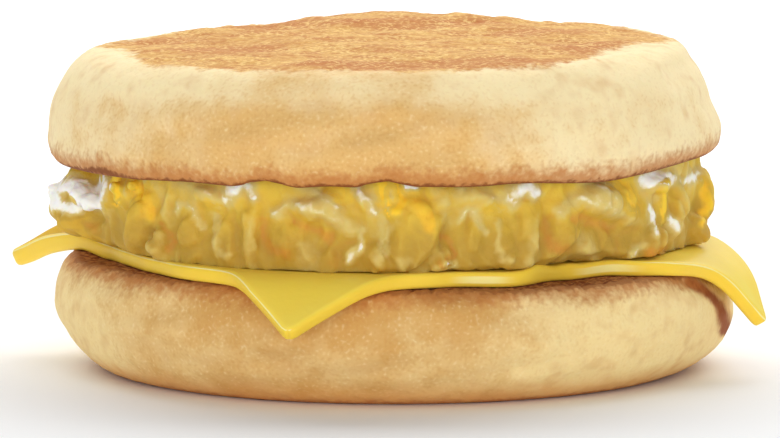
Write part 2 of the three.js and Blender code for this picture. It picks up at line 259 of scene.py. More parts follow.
END_STROKES = (
    (((-50.2, 6.3), (-49.4, 5.2), (-47.4, 5)), 2.2, 0.3, 0.95, 0),
    (((-48.6, 6.5), (-47.4, 6.3)), 1.2, -0.5, 0, 0.2),
    (((-50.5, 9.6), (-47.6, 10.6), (-44.6, 10.8)), 2, 0, 0, 0.15),
    (((-42.4, 10.4), (-42.6, 8.9), (-42.9, 7.3)), 1.5, 0.25, 0.95, 0),
    (((-38.9, 10.3), (-38.7, 9.2)), 1.5, 0.2, 0.95, 0),
    (((-40.2, 10.5), (-40.2, 8.5), (-40.7, 6.6)), 1.6, 0.25, -0.8, 0),
    (((-37.6, 10.8), (-37.3, 9.4)), 2.2, 0, -0.6, 0),
    (((-45.2, 2.6), (-43.4, 2.2)), 1.5, -0.2, 0, 0.5),
    (((-5.6, 12), (-4.5, 10.9), (-3.1, 9.4), (-2.6, 8.4)), 1.9, 0.35, 0.7, 0),
    (((-6.5, 1.4), (-5.8, 2.4), (-5.1, 3.1)), 1.5, 0.5, 0.7, 0),
    (((-4.9, 3.6), (-4.6, 5.6)), 0.9, 0.2, 0.75, 0),
    (((-0.6, 11), (-1.1, 8.1), (-1.7, 5.3), (-1.2, 2.4)), 1.5, 0.3, 0.6, 0),
    (((-2, 12.3), (-1.4, 9.6), (-0.3, 8.3)), 1.5, 0.2, -0.9, 0),
    (((0.3, 12.3), (1.1, 10.3), (0.6, 8.6)), 1.4, 0.2, -0.7, 0),
    (((33.4, 10.1), (34.6, 7.1)), 2.4, 0, -0.6, 0),
    (((-3.6, 7.6), (-3, 5.2)), 1.1, 0.3, 0.3, 0),
    (((1.8, 12), (2.9, 11.6)), 1.6, 0.4, 0.9, 0),
    (((1.2, 0.9), (1.8, 0.9)), 2.4, 0.3, 0.4, 0),
    (((8, 0.8), (8.4, 0.8)), 1.3, 0.4, 0.85, 0),
    (((6.6, 1.1), (6.9, 0.7)), 1.2, -0.2, 0, 0.6),
    (((36.4, 11), (38.2, 11.1), (40.1, 10.4)), 2.6, 0.3, 0.95, 0),
    (((39.3, 9.7), (39, 7.2), (38.8, 4.3)), 1.4, 0.6, -0.8, 0),
    (((36.7, 6.8), (37.6, 4.7), (38, 3.2)), 1.4, 0.4, 0.9, 0),
    (((39.8, 4.6), (41.2, 3.3)), 1.7, 0.4, 0.9, 0),
    (((42.9, 9.7), (44.6, 9.3)), 2.2, 0.4, 0.9, 0),
    (((41, 8.6), (41.2, 5.4)), 1.2, -0.5, 0, 0.2),
    (((34.6, 0.4), (35.8, 1.1)), 1.5, 0.4, 0.6, 0),
    (((37, 0.2), (39.5, 0.2)), 1.6, -0.2, 0, 0.7),
    (((45.6, 8.4), (46.1, 5.3), (45.4, 2.8)), 1.8, 0.4, -0.6, 0),
)
FOLD_STROKES_AGAIN = tuple(
    (tuple((right + FOLDS_AGAIN, up) for right, up in path), *rest) for path, *rest in FOLD_STROKES
)
STROKES = FOLD_STROKES + FOLD_STROKES_AGAIN + END_STROKES

# The egg's foot: how high it is, how far it stays behind the slice's two front edges, and how steeply it
# swells out above
FOOT_HEIGHT = 3
FOOT_INSET_LEFT = 0.4
FOOT_INSET_RIGHT = 1.6
FOOT_SLOPE = 3.2

# How much of the strokes' given relief is used, how far apart their points are, and how far from a place
# they are looked for
STROKE_RELIEF = 0.65
STROKE_STEP = 0.3
STROKE_SEARCH = 2.7

# Each curd notes its tone at one in TONE_SKIP of its points, and each place on the egg takes its own from
# the NEAR_TONES nearest of them
TONE_SKIP = 3
NEAR_TONES = 10

# Where the numbers that the white curds and those behind draw their chances and lumps from start
WHITES_FROM = 60
BEHIND_FROM = 100


def chance(piece, draw):
    """A number from 0 to 1 that depends only on a piece's number and on which draw it is."""
    value = math.sin(piece * 127.1 + draw * 311.7) * 43758.5453
    return value - math.floor(value)


def between(low, high, share):
    """The value a share of the way from low to high."""
    return low + (high - low) * share


def smooth(low, high, value):
    """0 at low, 1 at high and smooth between; high may be the lower of the two."""
    share = min(1, max(0, (value - low) / (high - low)))
    return share * share * (3 - 2 * share)


def humps(entries, along):
    """Sum of smooth humps, each given by its place along a line, its reach and its height."""
    return sum(height * smooth(reach, 0, abs(along - middle)) for middle, reach, height in entries)


def waves(x, y, length, phase):
    """Soft waves over a face, from about -1 to 1, whose crests are roughly length apart."""
    k = 2 * math.pi / length
    first = math.sin(k * x + phase) * math.cos(0.83 * k * y - 2 * phase)
    second = 0.6 * math.sin(0.57 * k * (x + y) + 3 * phase)
    third = 0.5 * math.cos(1.31 * k * (y - 0.6 * x) + 5 * phase)
    return (first + second + third) / 1.6


def out_of_round(bearing, phase):
    """How far a muffin's edge wanders from a true circle at one bearing, as a share of its radius."""
    slow = 0.006 * math.sin(2 * bearing + phase) + 0.004 * math.sin(3 * bearing + 2.1 * phase)
    return slow + 0.003 * math.sin(5 * bearing + 3.7 * phase) + 0.0015 * math.sin(11 * bearing + phase)


def lumps(place, size, number):
    """Soft noise from about -1 to 1 whose lumps are about size across; the number picks the pattern."""
    return noise.noise(Vector(place) / size + Vector((number, 2.3 * number, 3.7 * number)))


def lobes(place, size, number):
    """1 in the middle of soft uneven cells about size across, and 0 along the creases between them."""
    bend = Vector([lumps(place, size, number + part) for part in range(3)])
    near, next_near = noise.voronoi((Vector(place) + bend * 0.5 * size) / size)[0][:2]
    return smooth(0, 0.4, next_near - near)


def colour(red, green, blue):
    """A colour given as it looks on a screen, from 0 to 255."""
    parts = [part / 255 for part in (red, green, blue)]
    linear = [part / 12.92 if part < 0.04045 else ((part + 0.055) / 1.055) ** 2.4 for part in parts]
    return (*linear, 1)


class Wire:
    """A value in a material. Arithmetic on it adds Math nodes."""

    def __init__(self, coat, socket):
        self.coat = coat
        self.socket = socket

    def __add__(self, other):
        return self.coat.maths("ADD", self, other)

    __radd__ = __add__

    def __sub__(self, other):
        return self.coat.maths("SUBTRACT", self, other)

    def __rsub__(self, other):
        return self.coat.maths("SUBTRACT", other, self)

    def __mul__(self, other):
        return self.coat.maths("MULTIPLY", self, other)

    __rmul__ = __mul__


class Coat:
    """A material under construction."""

    def __init__(self, name, **constants):
        self.material = bpy.data.materials.new(name)
        self.material.use_nodes = True
        self.tree = self.material.node_tree
        self.shader = self.tree.nodes["Principled BSDF"]
        for socket, value in constants.items():
            self.shader.inputs[socket.replace("_", " ")].default_value = value
        self.place = self.node("TexCoord", output="Object")

    def node(self, kind, settings=None, inputs=None, output=0):
        """Adds a node with its settings and inputs, and gives one of its outputs."""
        made = self.tree.nodes.new("ShaderNode" + kind)
        for name, value in (settings or {}).items():
            setattr(made, name, value)
        for name, value in (inputs or {}).items():
            if isinstance(value, Wire):
                self.tree.links.new(value.socket, made.inputs[name])
            else:
                made.inputs[name].default_value = value
        return Wire(self, made.outputs[output])

    def maths(self, operation, first, second):
        return self.node("Math", {"operation": operation}, {0: first, 1: second})

    def attribute(self, name):
        return self.node("Attribute", {"attribute_name": name}, output="Fac")

    def grain(self, size, detail=2.0, place=None, roughness=0.5):
        """Noise from 0 to 1 whose lumps are about size millimetres across."""
        scale = 1 / (size * MILLIMETRE)
        inputs = {"Vector": place or self.place, "Scale": scale, "Detail": detail, "Roughness": roughness}
        return self.node("TexNoise", {"noise_dimensions": "3D"}, inputs)

    def step(self, value, low, high):
        """0 below low, 1 above high and smooth between; high may be the lower of the two."""
        inputs = {"Value": value, "From Min": low, "From Max": high}
        return self.node("MapRange", {"interpolation_type": "SMOOTHSTEP"}, inputs)

    def mix(self, factor, first, second):
        """The first colour where the factor is 0 and the second where it is 1."""
        inputs = {0: factor, 6: first, 7: second}
        return self.node("Mix", {"data_type": "RGBA"}, inputs, output=2)

    def squeezed(self, x, y, z):
        """Object coordinates multiplied along each axis, which stretches a pattern the other way."""
        return self.node("VectorMath", {"operation": "MULTIPLY"}, {0: self.place, 1: (x, y, z)})

    def drive(self, socket, value):
        self.tree.links.new(value.socket, self.shader.inputs[socket])

    def bump(self, height, distance):
        inputs = {"Height": height, "Distance": distance * MILLIMETRE, "Strength": 1.0}
        self.drive("Normal", self.node("Bump", {}, inputs))


def tracks(mesh, *names):
    """Adds a value of each name to every vertex, for the materials to read."""
    return [mesh.verts.layers.float.new(name) for name in names]


def piece(name, mesh, node, slot, coat):
    """Makes a finished mesh in millimetres the piece that stands for a CAD node."""
    data = bpy.data.meshes.new(name)
    bmesh.ops.scale(mesh, vec=(MILLIMETRE, MILLIMETRE, MILLIMETRE), verts=mesh.verts)
    mesh.to_mesh(data)
    mesh.free()
    data.materials.append(coat.material)
    data.shade_smooth()
    made = bpy.data.objects.new(name, data)
    bpy.context.scene.collection.objects.link(made)
    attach(made, "root")
    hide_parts(node)
    return made


def bezier(start, first, second, end, gap):
    """Points along a curve in the outline's plane, about gap apart, without its first point."""
    start, first, second, end = (Vector(point) for point in (start, first, second, end))
    count = max(2, round((end - start).length * 1.08 / gap))
    points = []
    for step in range(1, count + 1):
        t = step / count
        near = start * (1 - t) ** 3 + first * 3 * t * (1 - t) ** 2
        points.append(near + second * 3 * t * t * (1 - t) + end * t**3)
    return points


def level(start, end, height, gap):
    """Points from one radius to another at one height, without the first."""
    count = max(1, round(abs(end - start) / gap))
    return [Vector((between(start, end, step / count), height)) for step in range(1, count + 1)]


def spun(outline):
    """Spins an outline of radius and height about the Z axis and closes it at the axis."""
    mesh = bmesh.new()
    chain = [mesh.verts.new((point[0], 0, point[1])) for point in outline]
    links = [mesh.edges.new(pair) for pair in zip(chain, chain[1:])]
    wedge = 2 * math.pi / WEDGES
    whole = {"cent": (0, 0, 0), "axis": (0, 0, 1), "dvec": (0, 0, 0)}
    bmesh.ops.spin(mesh, geom=chain + links, angle=wedge, steps=ROUND_STEPS // WEDGES, **whole)
    parts = mesh.verts[:] + mesh.edges[:] + mesh.faces[:]
    rest = 2 * math.pi - wedge
    bmesh.ops.spin(mesh, geom=parts, angle=rest, steps=WEDGES - 1, use_duplicate=True, **whole)
    bmesh.ops.remove_doubles(mesh, verts=mesh.verts, dist=1e-4)
    bmesh.ops.recalc_face_normals(mesh, faces=mesh.faces)
    return mesh


def push(mesh, rule):
    """Moves every vertex along its normal by the distance that the rule gives for its place."""
    mesh.normal_update()
    moves = [vert.normal * rule(vert.co) for vert in mesh.verts]
    for vert, move in zip(mesh.verts, moves):
        vert.co += move


def paleness(x, left_start):
    """How pale the crust is at a distance right of the axis: paler towards both ends than at the front,
    most at the right.
    """
    return 0.9 * smooth(0, 38, x) + 0.7 * smooth(left_start, 50, -x)


def crust_relief(place):
    """Height of the crust's soft dents, pocks and crumb."""
    soft = 0.22 * lumps(place, 9, 3) + 0.12 * lumps(place, 3.6, 5)
    return soft + 0.05 * lumps(place, 1.5, 7)


def dimples(x, z, radius, length, phase):
    """Broad dimples of the side, none of them at the two ends, which would break the outline."""
    depth = DIMPLE_DEPTH * waves(x, z * 3, length, phase)
    return depth * smooth(30, 48, radius) * smooth(50, 40, abs(x))


def rim_crumb(place, number):
    """Fine crumb along a toasted rim."""
    return 0.14 * lumps(place, 1.3, number) + 0.03 * lumps(place, 0.8, number + 50)


def off_path(place, path):
    """How far the camera sees a place from a path of distances right of the axis and above the floor."""
    nearness = EYE_DISTANCE / (EYE_DISTANCE + place[1])
    seen = Vector((place[0] * nearness, EYE_HEIGHT - (EYE_HEIGHT - place[2]) * nearness))
    best = math.inf
    for start, end in zip(path, path[1:]):
        start = Vector(start)
        end = Vector(end)
        share = min(1, max(0, (seen - start).dot(end - start) / (end - start).length_squared))
        best = min(best, (start.lerp(end, share) - seen).length)
    return best


def under_slice(x, y):
    """How high the slice's underside, or that of its nearest side, is over a place."""
    half = SLICE_SIDE / 2
    flat = Matrix.Rotation(-SLICE_TURN, 2) @ Vector((x, y))
    inside = [min(half, max(-half, part)) for part in flat]
    return drape((*inside, 0)).z - RIM_CLEARANCE


def muffin_bottom():
    """The bottom half: flat browned base, tucked-in foot, belly above the middle and a toasted cut face."""
    belly = MUFFIN_RADIUS + 0.4
    edge = (BASE_FLAT_RADIUS, 0)
    foot = (MUFFIN_RADIUS - 1.8, 4.6)
    widest = (belly, BOTTOM_BELLY)
    rim = (BOTTOM_CUT_RADIUS, BOTTOM_HEIGHT)
    outline = [Vector((0, 0))]
    outline += level(0, BASE_FLAT_RADIUS, 0, HIDDEN_GAP)
    outline += bezier(edge, (BASE_FLAT_RADIUS + 2.4, 0), (MUFFIN_RADIUS - 4, 1.7), foot, SIDE_GAP)
    outline += bezier(foot, (MUFFIN_RADIUS - 0.8, 6.8), (belly, 8.4), widest, SIDE_GAP)
    outline += bezier(widest, (belly, 13.6), (rim[0] + 1.6, rim[1] - 0.4), rim, SIDE_GAP)
    outline += level(rim[0], HIDDEN_RADIUS, BOTTOM_HEIGHT, RING_GAP)
    outline += level(HIDDEN_RADIUS, 0, BOTTOM_HEIGHT, HIDDEN_GAP)
    mesh = spun(outline)
    cut, griddle, pale, corner_shadow = tracks(mesh, "cut", "griddle", "pale", "corner_shadow")
    for vert in mesh.verts:
        x, y, z = vert.co
        bearing = math.atan2(y, x)
        radius = math.hypot(x, y)
        share = z / BOTTOM_HEIGHT
        # Painted shadow of the slice's right corner, strongest along the band
        vert[corner_shadow] = smooth(1.5, 0.1, off_path(vert.co, CORNER_SHADOW_BAND)) if x > 38 and y < 6 else 0
        vert[cut] = radius - rim[0] if z > BOTTOM_HEIGHT - ON_FACE else BOTTOM_HEIGHT - z
        inwards = BASE_FLAT_RADIUS - radius
        vert[griddle] = inwards if z < ON_FACE else -z - max(0, -inwards) / 2
        vert[pale] = paleness(x, 30)
        puff = out_of_round(bearing, 3) * smooth(0, 0.5, share)
        puff += 0.022 * humps(((0, 40, 1),), math.degrees(bearing)) * smooth(0, 2.5, z) * smooth(11, 6, z)
        dimple = dimples(x, z, radius, 17, 1.3) * smooth(0, 0.4, share)
        scale = 1 + puff + (dimple / radius if radius > 1 else 0)
        near_slice = smooth(0.55, 1, share) * smooth(34, 40, radius)
        z += near_slice * (under_slice(x * scale, y * scale) - BOTTOM_HEIGHT)
        vert.co = (x * scale, y * scale, z)

    def relief(place):
        grown = smooth(0.4, 4, place.z)
        cut_face = smooth(BOTTOM_HEIGHT - 0.9, BOTTOM_HEIGHT - 0.2, place.z)
        near_rim = smooth(BOTTOM_HEIGHT - 3, BOTTOM_HEIGHT - 1, place.z)
        holes = max(0, lumps(place, 1.0, 71) + 0.5 * lumps(place, 0.55, 73))
        pits = -0.5 * holes * smooth(38, 43, place.xy.length)
        foot_crumb = 0.16 * lumps(place, 1.5, 79) * smooth(3, 1, place.z) * smooth(0.05, 0.6, place.z)
        side = crust_relief(place) * grown + rim_crumb(place, 11) * near_rim
        return between(side, pits, cut_face) + foot_crumb

    push(mesh, relief)
    for vert in mesh.verts:
        vert.co.z = max(vert.co.z, 0)
    return mesh


def swell(x, y):
    """How far the griddled face's swells lift it at a place."""
    total = 0
    for right, behind, reach, rise in SWELLS:
        distance = math.hypot(x - right, y - behind)
        total += rise * smooth(reach, 0.45 * reach, distance)
    return total


def scorched(x, y):
    """How strongly the griddled face is browned at a place."""
    total = 0
    for right, behind, wide, deep in SCORCHES:
        total += smooth(1, 0.2, math.hypot((x - right) / wide, (y - behind) / deep))
    return total


def griddled_edge(bearing):
    """Radius of the browned face at one bearing, ragged where the shoulder falls away."""
    slow = 0.5 * math.sin(5 * bearing + 1.1) + 0.4 * math.sin(9 * bearing + 0.4)
    degrees = math.degrees(bearing)
    return GRIDDLED_RADIUS + 0.9 + slow - humps(((-27, 24, 5.4), (-166, 24, 3.4)), degrees)


def rim_rise(x, y):
    """How far the top half's lower face is above its plane at a place; it is level behind the axis."""
    return humps(RIM_RISES, x) * smooth(34, 46, math.hypot(x, y)) * smooth(2, -12, y)


def muffin_top():
    """The top half: toasted cut face below, straight side, rounded shoulder and an uneven griddled face."""
    widest = (MUFFIN_RADIUS, TOP_BELLY - 0.6)
    shoulder = (MUFFIN_RADIUS - 2.7, 12.7)
    edge = (GRIDDLED_RADIUS, TOP_FACE)
    rim = (TOP_CUT_RADIUS + 0.4, 0)
    outline = [Vector((0, 0))]
    outline += level(0, HIDDEN_RADIUS, 0, HIDDEN_GAP)
    outline += level(HIDDEN_RADIUS, rim[0], 0, RING_GAP)
    outline += bezier(rim, (rim[0] + 0.9, 0.5), (MUFFIN_RADIUS, 1.8), widest, SIDE_GAP)
    outline += bezier(widest, (MUFFIN_RADIUS, 7), (MUFFIN_RADIUS - 0.8, 10.1), shoulder, SIDE_GAP)
    outline += bezier(shoulder, (MUFFIN_RADIUS - 4.1, 14.6), (GRIDDLED_RADIUS + 2.6, 15.9), edge, SIDE_GAP)
    outline += level(GRIDDLED_RADIUS, 0, TOP_FACE, RING_GAP)
    mesh = spun(outline)
    cut, griddle, pale, scorch = tracks(mesh, "cut", "griddle", "pale", "scorch")
    for vert in mesh.verts:
        x, y, z = vert.co
        bearing = math.atan2(y, x)
        from_right = abs(math.degrees(bearing))
        radius = math.hypot(x, y)
        share = z / TOP_FACE
        vert[scorch] = scorched(x, y)
        vert[cut] = radius - rim[0] if z < ON_FACE else z
        vert[cut] -= 0.8 * humps(((-42, 4.5, 1),), x) * smooth(0, -10, y)
        vert[griddle] = griddled_edge(bearing) - radius - 3 * max(0, 15.2 - z)
        vert[pale] = paleness(x, 12)
        puff = out_of_round(bearing, 2.9) * smooth(0, 0.3, share + 0.15)
        puff -= 0.024 * smooth(50, 20, from_right) * smooth(3, 8, z) * smooth(16, 13, z)
        puff -= 0.006 * smooth(125, 160, from_right) * smooth(2, 5, z) * smooth(14, 11, z)
        dimple = dimples(x, z, radius, 19, 2.2) * smooth(0, 0.2, share)
        scale = 1 + puff + (dimple / radius if radius > 1 else 0)
        x *= scale
        y *= scale
        flat = smooth(GRIDDLED_RADIUS + 3, GRIDDLED_RADIUS - 6, radius) * smooth(0.9, 1, share)
        swollen = smooth(GRIDDLED_RADIUS + 4, GRIDDLED_RADIUS - 4, radius) * smooth(0.85, 1, share)
        rise = TOP_DOME * (1 - (radius / GRIDDLED_RADIUS) ** 2) + 0.55 * waves(x, y, 24, 0.9)
        z += flat * rise + swollen * swell(x, y)
        if share < 0.01:
            z += 0.3 * abs(waves(x, y, 15, 1.9)) * smooth(48, 44, radius)
        z += rim_rise(x, y) * smooth(0.55, 0, share)
        vert.co = (x, y, z)

    def relief(place):
        face = smooth(TOP_FACE - 1.6, TOP_FACE - 0.2, place.z)
        cut_face = smooth(0.5, 0.1, place.z)
        crumb = rim_crumb(place, 17) * smooth(3, 0.6, place.z)
        griddled = 0.16 * lumps(place, 3.2, 13) + 0.16 * lumps(place, 1.2, 19)
        skin = between(crust_relief(place), griddled, face)
        return skin * (1 - 0.8 * cut_face) + crumb * (1 - cut_face)

    push(mesh, relief)
    bmesh.ops.transform(mesh, matrix=TOP_PLACE, verts=mesh.verts)
    return mesh


def crust_coat(name, plain, palest, foot_tone, line_tone):
    """Baked crust: blotchy, paler at both ends, browned at the griddled face and the toasted rim, with a
    shadow painted under the slice's right corner.

    The tones say how strongly its foot and the thin line at its rim are browned, from 0 to 1.
    """
    coat = Coat(
        name, Roughness=0.8, Subsurface_Weight=0.12, Subsurface_Scale=0.002, Specular_IOR_Level=0.25
    )
    coat.shader.inputs["Subsurface Radius"].default_value = (1.0, 0.6, 0.3)
    cut = coat.attribute("cut")
    griddle = coat.attribute("griddle")
    pale = coat.attribute("pale")
    blotch = coat.grain(11, 3)
    patch = coat.grain(4, 3)
    crumb = coat.grain(0.9, 2)
    speck = coat.grain(0.5, 0)
    grit = crumb * 0.25 + speck * 0.75
    # Paler towards the griddled face; on the top half's shoulder this is painted light from above
    shoulder = coat.step(griddle, -24, -9) * (0.6 - foot_tone * 0.27)
    paler = coat.step(pale + shoulder + (blotch - 0.5) * 1.4 + (patch - 0.5) * 0.9, 0.0, 1.0)
    crust = coat.mix(paler, plain, palest)
    deeper = coat.step(patch, 0.5, 0.75)
    crust = coat.mix(deeper * 0.3, crust, colour(208, 150, 80))
    dark_grit = coat.step(grit, 0.46, 0.3) * (0.3 - paler * 0.2)
    crust = coat.mix(dark_grit, crust, colour(208, 150, 84))
    crust = coat.mix(coat.step(grit, 0.55, 0.85) * 0.36, crust, colour(255, 234, 184))
    foot = coat.step(griddle + (patch - 0.5) * 4, -8, -2)
    crust = coat.mix(foot * foot_tone, crust, colour(230, 166, 94))
    foot_line = coat.step(griddle + (crumb - 0.5) * 2, -2.8, -1.2)
    crust = coat.mix(foot_line * foot_tone, crust, colour(206, 124, 64))
    # Painted shadow: the band under the slice's right corner, a rusty brown, darkest along its middle
    corner_shadow = coat.step(coat.attribute("corner_shadow") + (patch - 0.5) * 0.5 + (crumb - 0.5) * 0.4, 0.0, 1.0)
    corner_shadow_brown = coat.mix(corner_shadow, colour(206, 144, 86), colour(150, 82, 42))
    crust = coat.mix(corner_shadow, crust, corner_shadow_brown)
    ragged = (patch - 0.5) * 3 + (crumb - 0.5) * 3.2
    toasted = coat.step(cut + ragged - line_tone * 0.8, 2.8, -0.2)
    crust = coat.mix(toasted * 0.82, crust, colour(190, 118, 58))
    edge_line = coat.step(cut + (crumb - 0.5) * 1.4, 0.65, 0.1)
    crust = coat.mix(edge_line * line_tone, crust, colour(124, 64, 30))
    face = coat.step(cut + (crumb - 0.5) * 1.2, 0.0, -0.9)
    crumb_face = coat.mix(coat.step(crumb, 0.4, 0.65), colour(132, 72, 38), colour(192, 130, 76))
    crust = coat.mix(face, crust, crumb_face)
    browned = coat.step(griddle + (patch - 0.5) * 6 + (crumb - 0.5) * 4, -1.4, 1.6)
    streaks = coat.squeezed(0.55, 1, 1)
    mottle = coat.step(coat.grain(3.4, 4, streaks, 0.65), 0.36, 0.62)
    scorch = coat.step(coat.grain(6, 3, streaks) * 0.8 + coat.attribute("scorch") * 0.35, 0.38, 0.72)
    griddled = coat.mix(mottle, colour(201, 137, 66), colour(226, 176, 96))
    griddled = coat.mix(scorch * 0.75, griddled, colour(194, 120, 56))
    dash = coat.grain(0.8, 3, roughness=0.6)
    pores = coat.step(coat.grain(5, 2), 0.35, 0.6)
    light_dashes = coat.step(dash, 0.5, 0.62) * (0.3 + pores * 0.4)
    dark_dashes = coat.step(dash, 0.46, 0.34) * (0.2 + pores * 0.35)
    griddled = coat.mix(light_dashes, griddled, colour(250, 214, 136))
    griddled = coat.mix(dark_dashes, griddled, colour(182, 106, 52))
    coat.drive("Base Color", coat.mix(browned, crust, griddled))
    coat.bump(crumb * 0.7 + speck * 0.3, 0.12)
    return coat


def bulged(x, y):
    """Moves a point of the flat slice outwards where a front side bulges or a corner is longer."""
    half = SLICE_SIDE / 2
    out_left = smooth(-half + BULGE_REACH, -half, x) * humps(LEFT_BULGES, y)
    out_right = smooth(-half + BULGE_REACH, -half, y) * humps(RIGHT_BULGES, x)
    x -= out_left
    y -= out_right
    for corner in CORNERS:
        at = math.radians(corner["at"])
        from_tip = half * math.sqrt(2) - x * math.cos(at) - y * math.sin(at)
        near = max(0, 1 - from_tip / CORNER_REACH)
        x += corner["longer"] * near * near * math.cos(at)
        y += corner["longer"] * near * near * math.sin(at)
    return x, y


def drape(place):
    """Lays a point of the flat slice on the muffin, level inside the rim and bent down at each corner."""
    x, y = bulged(place[0], place[1])
    flat = Matrix.Rotation(SLICE_TURN, 2) @ Vector((x, y))
    half = SLICE_SIDE / 2
    laid = Vector((flat.x, flat.y, 0))
    normal = Vector((0, 0, 1))
    for corner in CORNERS:
        at = SLICE_TURN + math.radians(corner["at"])
        out = Vector((math.cos(at), math.sin(at), 0))
        past = flat.x * out.x + flat.y * out.y - corner["start"]
        if past <= 0:
            continue
        radius = corner["radius"]
        bend = min(past / radius, math.radians(corner["slope"]))
        straight = past - bend * radius
        laid += out * (radius * math.sin(bend) + straight * math.cos(bend) - past)
        laid.z -= radius * (1 - math.cos(bend)) + straight * math.sin(bend)
        normal = Vector((0, 0, math.cos(bend))) + out * math.sin(bend)
    along, across, up = place
    edge = smooth(half - LIFT_REACH, half, max(abs(along), abs(across)))
    lift = edge * SLICE_LIFT * (1 + waves(flat.x, flat.y, 21, 0.6)) / 2
    lift += smooth(half - BACK_REACH, half, across) * humps(BACK_RISES, along)
    lift += smooth(-half + RISE_REACH, -half, along) * humps(LEFT_RISES, across)
    lift += smooth(-half + RISE_REACH, -half, across) * humps(RIGHT_RISES, along)
    height = up / SLICE_THICKNESS
    lift += smooth(-half + RIDGE_REACH, -half, across) * humps(RIDGE_RISES, along) * height
    lift -= smooth(-half + RIDGE_REACH, -half, along) * humps(LEFT_SAGS, across) * (1 - height)
    return laid + normal * (up + lift) + Vector((0, 0, SLICE_LEVEL))


def cheese_slice():
    """A square slice with softly rounded edges and corners, draped over the bottom half."""
    mesh = bmesh.new()
    half = SLICE_SIDE / 2
    straight = half - CORNER_ROUNDING
    bmesh.ops.create_grid(mesh, x_segments=SLICE_STEPS, y_segments=SLICE_STEPS, size=half)
    bmesh.ops.solidify(mesh, geom=mesh.faces[:], thickness=SLICE_THICKNESS)
    lowest = min(vert.co.z for vert in mesh.verts)
    bmesh.ops.translate(mesh, vec=(0, 0, -lowest), verts=mesh.verts)
    bmesh.ops.recalc_face_normals(mesh, faces=mesh.faces)
    rims = [link for link in mesh.edges if link.is_manifold and link.calc_face_angle() > 1]
    bevel = {"offset": EDGE_ROUNDING, "segments": 4, "profile": 0.5, "affect": "EDGES", "material": -1}
    bmesh.ops.bevel(mesh, geom=rims, **bevel)
    edge, sheen, back_left_shade, side_shade = tracks(mesh, "edge", "sheen", "back_left_shade", "side_shade")
    for vert in mesh.verts:
        x, y, z = vert.co
        # The edge value marks a painted highlight: a pale line along the top ridge, fainter over most of
        # the right front side
        side = min(half - abs(x), half - abs(y))
        on_right = y < -half + 1 and x > -half + 1
        duller = 0.2 * smooth(20, 10, x) if on_right else 0
        vert[edge] = 1 - max(side, SLICE_THICKNESS - z) - duller
        # Painted sheen: pale highlight streaks along the middle of the right front side, and a faint one on
        # the right corner's top
        middle = smooth(0.5, 0.7, min(z, SLICE_THICKNESS - z)) * smooth(0.1, 0, y + half)
        corner_top = smooth(half - 4, half - 1, x) * smooth(-24, -34, y) * smooth(1.5, SLICE_THICKNESS, z)
        vert[sheen] = middle * humps(SHEENS, x) + 0.06 * corner_top
        # Painted shade: the side faces are darkened to a deeper gold
        vert[side_shade] = smooth(0.5, 0.05, side)
        # Painted shade on the top face along the back left side, where the egg's shadow falls; it is also
        # rougher there
        on_top = smooth(-half + 0.5, -half + 1.5, x) * smooth(1, SLICE_THICKNESS, z)
        vert[back_left_shade] = smooth(14, 24, y) * on_top
        past_x = abs(x) - straight
        past_y = abs(y) - straight
        if past_x > 0 and past_y > 0:
            shrink = max(past_x, past_y) / math.hypot(past_x, past_y)
            x = math.copysign(straight + past_x * shrink, x)
            y = math.copysign(straight + past_y * shrink, y)
        vert.co = drape((x, y, z))
    return mesh


def cheese_coat():
    """Smooth yellow cheese with painted light: a pale highlight line along the top edges, pale sheen
    streaks, and painted shade on the golden sides and the duller back left corner.
    """
    coat = Coat("cheese", Subsurface_Weight=0.25, Subsurface_Scale=0.0012, Specular_IOR_Level=0.14)
    coat.shader.inputs["Subsurface Radius"].default_value = (1.0, 0.7, 0.2)
    cloud = coat.grain(14, 2)
    skin = coat.mix(coat.step(cloud, 0.35, 0.65), colour(255, 222, 84), colour(255, 227, 93))
    # Painted shade on the side faces, a deeper gold
    skin = coat.mix(coat.attribute("side_shade") * 0.85, skin, colour(248, 207, 66))
    ragged = (coat.grain(4, 2) - 0.5) * 0.25
    # Painted highlight: the pale sheen streaks
    sheen = coat.step(coat.attribute("sheen") + ragged, 0.2, 1.0) * 0.85
    skin = coat.mix(sheen, skin, colour(255, 238, 156))
    # Painted shade: a darker, duller yellow on the top face along the back left side
    skin = coat.mix(coat.attribute("back_left_shade") * 0.9, skin, colour(212, 164, 36))
    # Painted highlight: a pale line along the top ridge
    lit_edge = coat.step(coat.attribute("edge") + ragged * 0.5, 0.67, 0.78)
    coat.drive("Base Color", coat.mix(lit_edge * 0.9, skin, colour(255, 243, 172)))
    coat.drive("Roughness", 0.32 + coat.grain(3, 2) * 0.12 + coat.attribute("back_left_shade") * 0.56)
    coat.bump(coat.grain(1.4, 2) + coat.grain(7, 1) * 2, 0.05)
    return coat


def stood(mesh, verts, bearing, face, height, turn):
    """Stands a curd at a bearing, with its face at the given radius and its middle at the given height."""
    axis = (0, 0, 0)
    bmesh.ops.rotate(mesh, cent=axis, matrix=Matrix.Rotation(turn, 3, "Y"), verts=verts)
    reach = max(vert.co.y for vert in verts)
    bmesh.ops.translate(mesh, vec=(0, face - reach, height), verts=verts)
    bmesh.ops.rotate(mesh, cent=axis, matrix=Matrix.Rotation(bearing - math.pi / 2, 3, "Z"), verts=verts)


def curd(mesh, number, wide, deep, tall, rough=0.1):
    """A lumpy ball of the given size, with its width along X and its face towards +Y."""
    verts = bmesh.ops.create_icosphere(mesh, subdivisions=4, radius=0.5)["verts"]
    for vert in verts:
        x, y, z = vert.co
        lump = 1 + 0.12 * math.sin(7 * x + 5 * z + number) * math.cos(6 * y - 2 * number)
        lump += rough * lumps(vert.co, 0.5, number) + 0.4 * rough * lumps(vert.co, 0.2, number)
        vert.co = Vector((x * wide, y * deep, z * tall)) * lump
    return verts


